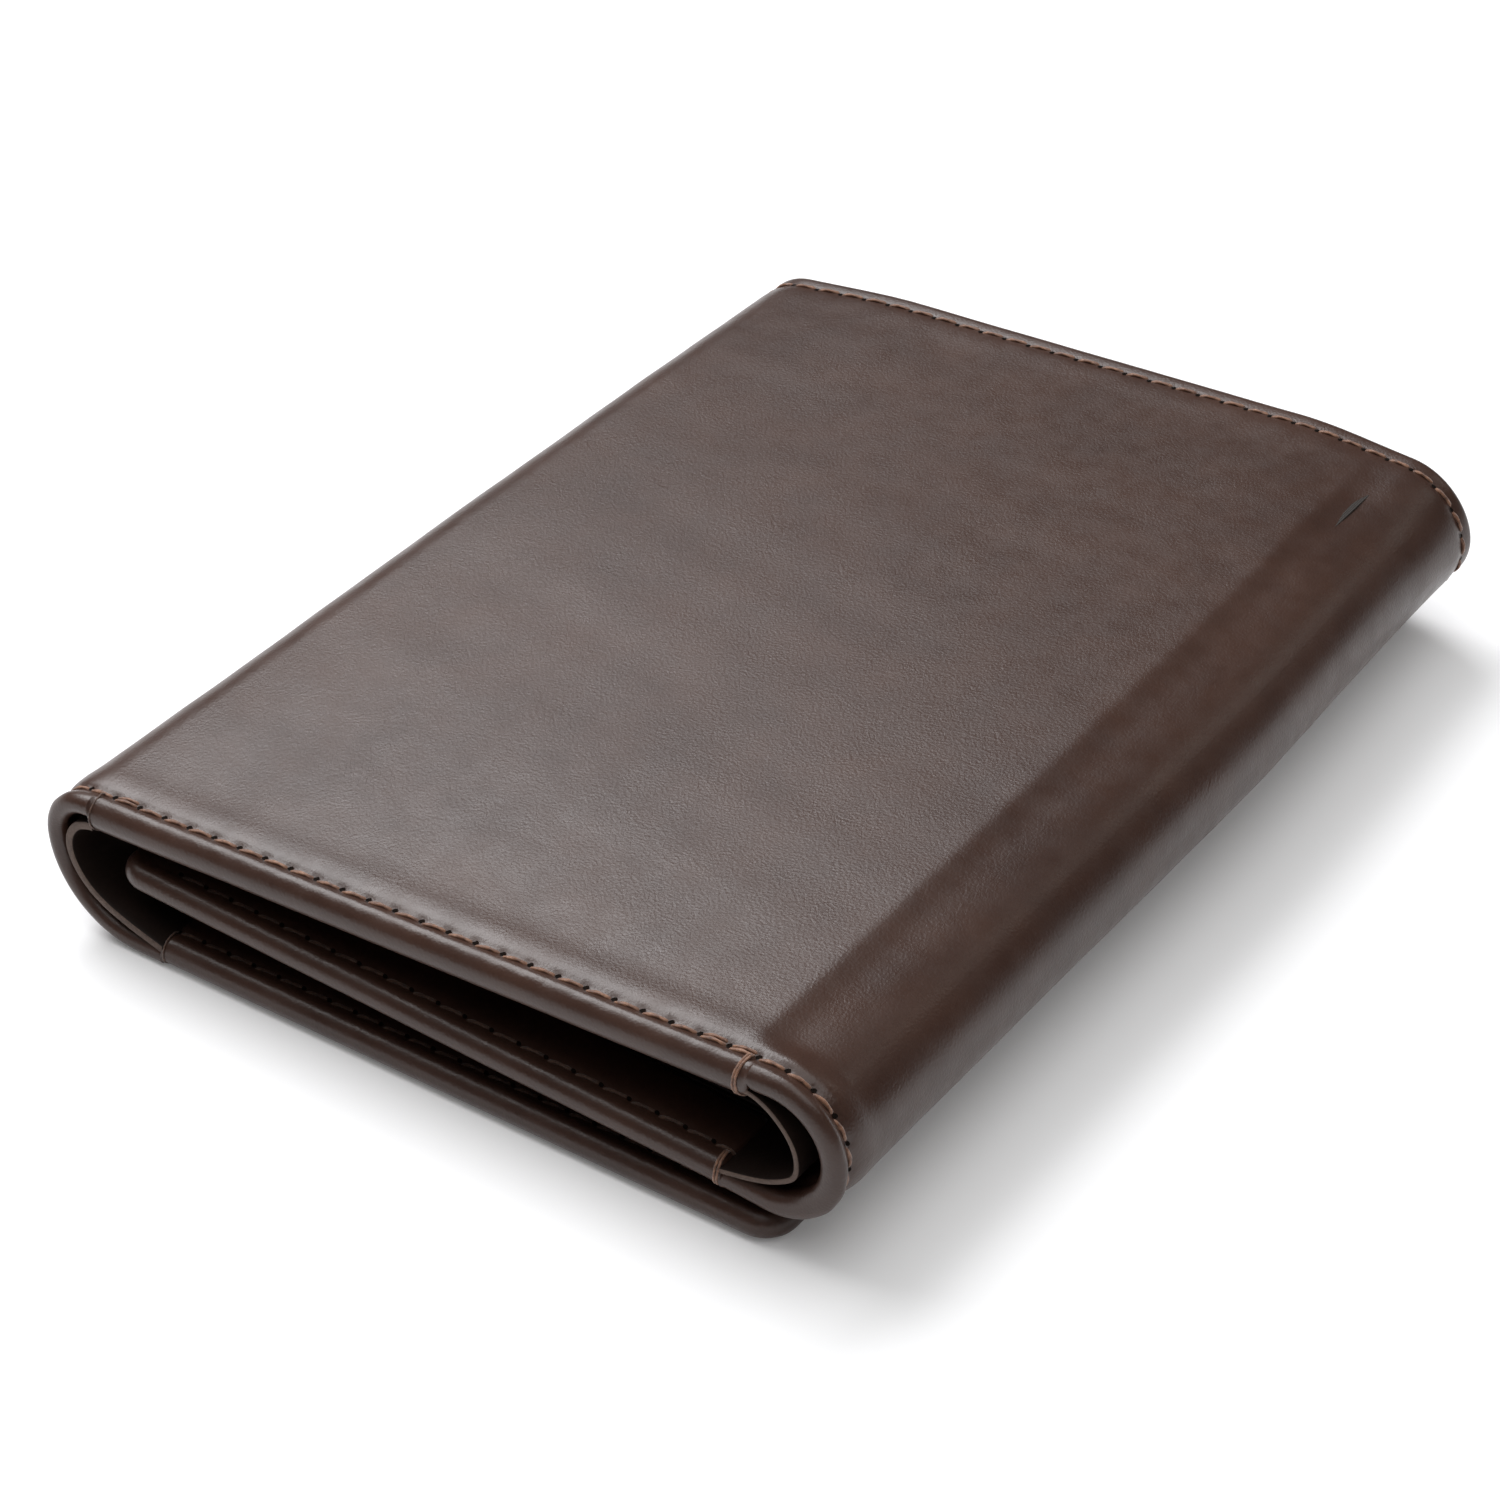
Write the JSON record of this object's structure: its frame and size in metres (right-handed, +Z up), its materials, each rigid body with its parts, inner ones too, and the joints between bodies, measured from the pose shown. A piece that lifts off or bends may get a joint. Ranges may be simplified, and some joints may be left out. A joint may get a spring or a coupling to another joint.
{
  "type": "trifold wallet",
  "caption": "Folded leather trifold wallet: a centre panel on top, an inner flap and an outer flap under it, joined by soft folds, with card pockets and a bill compartment.",
  "frame": {"origin": "middle of the wallet's footprint on the surface it lies on, wallet folded shut", "axes": "+X from the left fold to the right fold, +Y along the fold lines away from the edge seen in front, +Z up from the outer flap to the centre panel"},
  "size_m": [0.0824, 0.1123, 0.0177],
  "materials": {
    "shell_leather": "satin",
    "divider_leather": "matte",
    "pocket_leather": "satin",
    "lining_cloth": "matte",
    "thread": "satin",
    "clear_plastic": "gloss"
  },
  "bodies": {
    "outer_flap": {"outer_flap_shell": "shell_leather", "outer_flap_divider": "divider_leather", "outer_flap_lining": "lining_cloth", "outer_card_pocket_back": "pocket_leather", "outer_card_pocket_middle": "pocket_leather", "outer_card_pocket_front": "pocket_leather", "outer_flap_seam": "thread", "outer_pocket_seam": "thread", "outer_flap_tack": "thread"},
    "left_strip_4": {"left_fold_shell_4": "shell_leather", "left_fold_divider_4": "divider_leather", "left_fold_seam_4": "thread"},
    "left_strip_3": {"left_fold_shell_3": "shell_leather", "left_fold_divider_3": "divider_leather", "left_fold_seam_3": "thread"},
    "left_strip_2": {"left_fold_shell_2": "shell_leather", "left_fold_divider_2": "divider_leather", "left_fold_seam_2": "thread"},
    "left_strip_1": {"left_fold_shell_1": "shell_leather", "left_fold_divider_1": "divider_leather", "left_fold_seam_1": "thread"},
    "centre": {"centre_shell": "shell_leather", "centre_divider": "divider_leather", "centre_lining": "lining_cloth", "centre_card_pocket_back": "pocket_leather", "centre_card_pocket_middle": "pocket_leather", "centre_card_pocket_front": "pocket_leather", "centre_near_seam": "thread", "centre_far_seam": "thread", "centre_pocket_seam": "thread", "centre_left_tack": "thread", "centre_right_tack": "thread"},
    "right_strip_1": {"right_fold_shell_1": "shell_leather", "right_fold_divider_1": "divider_leather", "right_fold_seam_1": "thread"},
    "right_strip_2": {"right_fold_shell_2": "shell_leather", "right_fold_divider_2": "divider_leather", "right_fold_seam_2": "thread"},
    "right_strip_3": {"right_fold_shell_3": "shell_leather", "right_fold_divider_3": "divider_leather", "right_fold_seam_3": "thread"},
    "inner_flap": {"inner_flap_shell": "shell_leather", "inner_flap_divider": "divider_leather", "inner_flap_lining": "lining_cloth", "inner_slip_pocket": "pocket_leather", "id_window": "clear_plastic", "id_window_frame": "pocket_leather", "inner_flap_seam": "thread", "inner_pocket_seam": "thread", "inner_flap_tack": "thread"}
  },
  "joints": [
    {"name": "left_fold_1", "type": "hinge", "parent": "outer_flap", "child": "left_strip_4", "pos_m": [-0.03371, 0, 0.0003], "axis": [0, -1, 0], "range_deg": [0, 35.5]},
    {"name": "left_fold_2", "type": "hinge", "parent": "left_strip_4", "child": "left_strip_3", "pos_m": [-0.03882, 0, 0.00365], "axis": [0, -1, 0], "range_deg": [0, 35.5]},
    {"name": "left_fold_3", "type": "hinge", "parent": "left_strip_3", "child": "left_strip_2", "pos_m": [-0.04083, 0, 0.0095], "axis": [0, -1, 0], "range_deg": [0, 35.5]},
    {"name": "left_fold_4", "type": "hinge", "parent": "left_strip_2", "child": "left_strip_1", "pos_m": [-0.03988, 0, 0.01238], "axis": [0, -1, 0], "range_deg": [0, 35.5]},
    {"name": "left_fold_5", "type": "hinge", "parent": "left_strip_1", "child": "centre", "pos_m": [-0.0374, 0, 0.01414], "axis": [0, -1, 0], "range_deg": [0, 35.5]},
    {"name": "right_fold_1", "type": "hinge", "parent": "centre", "child": "right_strip_1", "pos_m": [0.03643, 0, 0.01697], "axis": [0, -1, 0], "range_deg": [0, 8.52]},
    {"name": "right_fold_2", "type": "hinge", "parent": "right_strip_1", "child": "right_strip_2", "pos_m": [0.04029, 0, 0.01327], "axis": [0, -1, 0], "range_deg": [0, 8.52]},
    {"name": "right_fold_3", "type": "hinge", "parent": "right_strip_2", "child": "right_strip_3", "pos_m": [0.04028, 0, 0.00793], "axis": [0, -1, 0], "range_deg": [0, 8.52]},
    {"name": "right_fold_4", "type": "hinge", "parent": "right_strip_3", "child": "inner_flap", "pos_m": [0.03642, 0, 0.00424], "axis": [0, -1, 0], "range_deg": [0, 8.52]}
  ],
  "couplings": [
    {"joint": "left_fold_2", "follows": "left_fold_1", "ratio": 1},
    {"joint": "left_fold_3", "follows": "left_fold_1", "ratio": 1},
    {"joint": "left_fold_4", "follows": "left_fold_1", "ratio": 1},
    {"joint": "left_fold_5", "follows": "left_fold_1", "ratio": 1},
    {"joint": "right_fold_1", "follows": "left_fold_1", "ratio": 0.24},
    {"joint": "right_fold_2", "follows": "left_fold_1", "ratio": 0.24},
    {"joint": "right_fold_3", "follows": "left_fold_1", "ratio": 0.24},
    {"joint": "right_fold_4", "follows": "left_fold_1", "ratio": 0.24}
  ]
}
